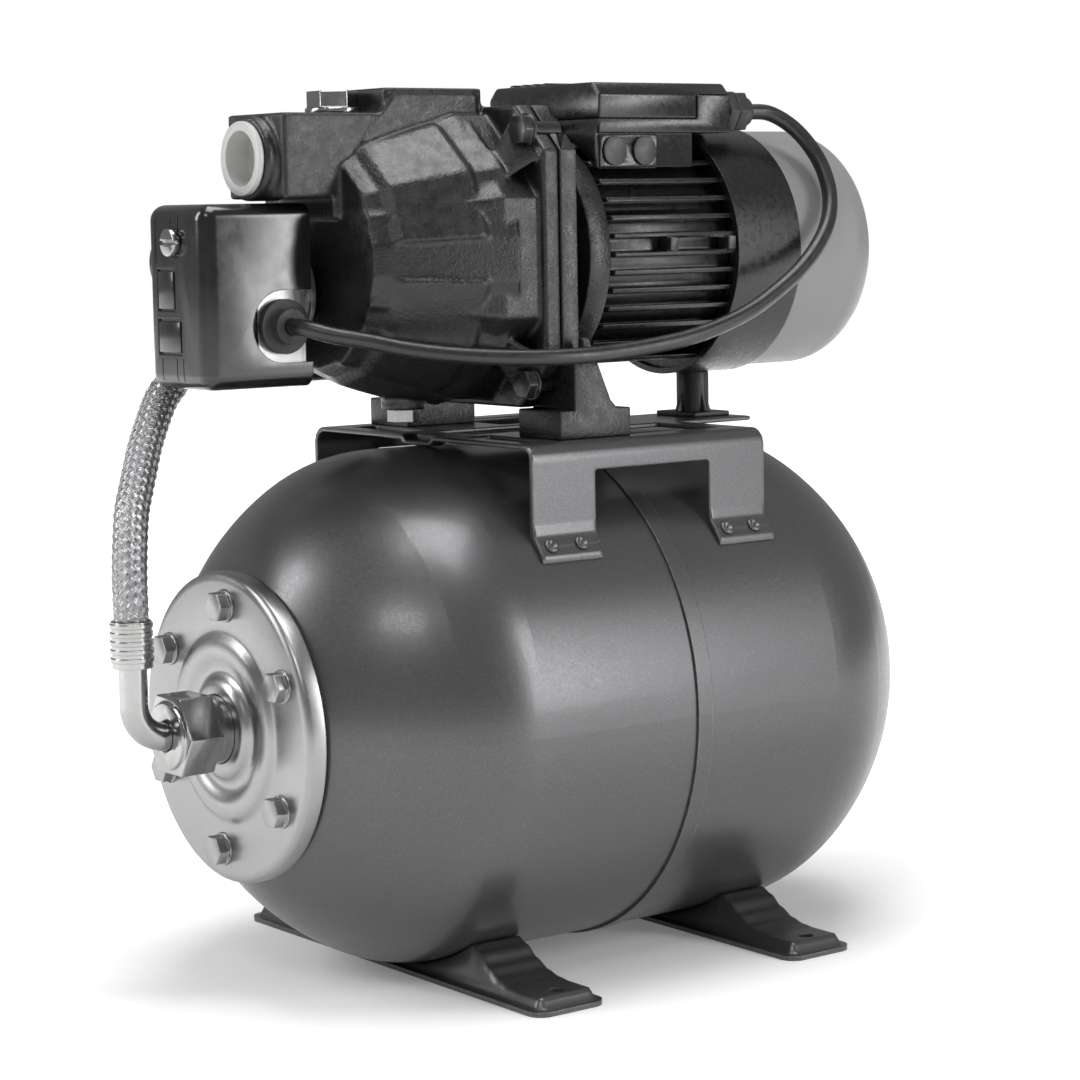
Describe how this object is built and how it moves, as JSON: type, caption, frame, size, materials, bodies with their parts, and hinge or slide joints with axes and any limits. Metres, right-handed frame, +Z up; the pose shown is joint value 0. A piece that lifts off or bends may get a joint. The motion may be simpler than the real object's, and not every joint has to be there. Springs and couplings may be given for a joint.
{
  "type": "shallow well jet pump",
  "caption": "Shallow well jet pump and motor on a horizontal pressure tank, with pressure switch, gauge and braided hose; rotor, switch lever and pointer move.",
  "frame": {"origin": "on the floor under the middle of the tank, midway between the four holes in the feet", "axes": "+Z up; +Y along the tank and pump axes towards the fan cover, so the suction port, the tank flange and the pressure switch face -Y; +X to the right seen from the suction end"},
  "size_m": [0.258, 0.4682, 0.4385],
  "materials": {
    "tank_paint": "satin metallic graphite paint",
    "membrane_rubber": "matte",
    "zinc": "zinc plated, satin",
    "nickel": "nickel plated, bright",
    "braid": "stainless wire braid",
    "brass": "machined",
    "cap_black": "satin",
    "cast_black": "grainy black paint on cast iron",
    "cap_white": "satin",
    "venturi_plastic": "satin",
    "seal_black": "matte",
    "ceramic": "lapped",
    "bright_steel": "ground",
    "core_steel": "laminated",
    "copper": "enamelled wire",
    "motor_black": "satin black paint on die cast aluminium",
    "ring_black": "satin black",
    "fan_plastic": "satin",
    "cover_grey": "satin mid grey",
    "box_plastic": "semi gloss",
    "terminal_plastic": "satin",
    "capacitor_white": "satin",
    "cable_sheath": "satin",
    "switch_gloss": "glossy",
    "gauge_black": "satin black",
    "pointer_red": "matte",
    "gauge_glass": "clear"
  },
  "bodies": {
    "body": {"tank_front": "tank_paint", "tank_rear": "tank_paint", "membrane": "membrane_rubber", "tank_flange": "zinc", "flange_bolts": "zinc", "inlet_nipple": "nickel", "union_nut": "nickel", "elbow_tube": "nickel", "hose_ferrules": "nickel", "hose": "braid", "hose_nut": "nickel", "air_valve": "brass", "valve_cap": "cap_black", "foot_front": "tank_paint", "foot_rear": "tank_paint", "pump_bracket": "tank_paint", "pump_casing": "cast_black", "suction_cap": "cap_white", "priming_plug": "nickel", "drain_plug": "nickel", "nozzle": "brass", "venturi": "venturi_plastic", "diffuser": "venturi_plastic", "seal_seat": "ceramic", "casing_gasket": "seal_black", "lantern": "cast_black", "casing_bolts": "zinc", "foot_bolts": "zinc", "front_bearing": "bright_steel", "rear_bearing": "bright_steel", "stator_core": "core_steel", "windings": "copper", "motor_frame": "motor_black", "rear_shield": "ring_black", "fan_cover": "cover_grey", "motor_support": "cap_black", "box_base": "box_plastic", "box_lid": "box_plastic", "terminal_block": "terminal_plastic", "capacitor": "capacitor_white", "knockout_plugs": "cap_black", "cable_gland": "cap_black", "cable": "cable_sheath", "switch_base": "zinc", "switch_cover": "switch_gloss", "cover_nut": "switch_gloss", "diaphragm_housing": "zinc", "contact_block": "terminal_plastic", "grommets": "seal_black", "gauge_case": "gauge_black", "gauge_glass": "gauge_glass"},
    "rotor": {"shaft": "bright_steel", "rotor_core": "core_steel", "impeller": "brass", "seal_rotary": "seal_black", "fan": "fan_plastic"},
    "plunger": {"plunger": "zinc"},
    "lever": {"contact_lever": "zinc"},
    "pointer": {"gauge_pointer": "pointer_red"}
  },
  "joints": [
    {"name": "rotor_spin", "type": "hinge", "parent": "body", "child": "rotor", "pos_m": [0, 0, 0.352], "axis": [0, 1, 0], "continuous": true},
    {"name": "plunger_slide", "type": "slide", "parent": "body", "child": "plunger", "axis": [0, -1, 0], "range_m": [0, 0.0012]},
    {"name": "lever_rock", "type": "hinge", "parent": "body", "child": "lever", "pos_m": [-0.012, -0.1555, 0.3525], "axis": [-1, 0, 0], "range_deg": [0, 4.4]},
    {"name": "gauge_needle", "type": "hinge", "parent": "body", "child": "pointer", "pos_m": [-0.058, -0.164, 0.352], "axis": [-1, 0, 0], "range_deg": [0, 270]}
  ],
  "couplings": [
    {"joint": "lever_rock", "follows": "plunger_slide", "rad_per_m": 62.5}
  ]
}
